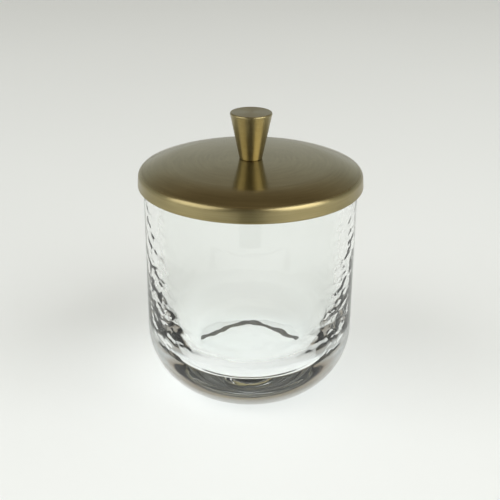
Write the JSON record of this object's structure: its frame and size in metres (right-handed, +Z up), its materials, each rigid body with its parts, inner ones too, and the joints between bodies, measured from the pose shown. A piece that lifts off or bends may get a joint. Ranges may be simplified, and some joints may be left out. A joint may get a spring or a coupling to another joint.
{
  "type": "dappen dish",
  "caption": "Round clear-glass dish with a heavy base and large rounded heel, closed by a loose domed brass lid with a tapered knob.",
  "frame": {"origin": "on the jar's axis, on the surface that it stands on", "axes": "+Z up, along the common axis of the jar, the lid and the knob; X and Y are level and alike"},
  "size_m": [0.06, 0.06, 0.0763],
  "materials": {
    "clear_glass": "polished, slightly uneven pressed glass",
    "lid_brass": "antique brass, brushed and lacquered",
    "knob_brass": "antique brass with fine turning marks",
    "seal_silicone": "dark grey silicone, satin",
    "hardware_steel": "plated steel"
  },
  "bodies": {
    "jar": {"glass_jar": "clear_glass"},
    "seal": {"lid_seal": "seal_silicone"},
    "lid": {"lid_shell": "lid_brass", "knob": "knob_brass", "knob_washer": "hardware_steel", "knob_screw": "hardware_steel"}
  },
  "joints": [
    {"name": "lid_lift", "type": "slide", "parent": "jar", "child": "seal", "axis": [0, 0, 1], "range_m": [0, 0.06]},
    {"name": "lid_turn", "type": "hinge", "parent": "seal", "child": "lid", "pos_m": [0, 0, 0.06], "axis": [0, 0, 1], "continuous": true}
  ]
}
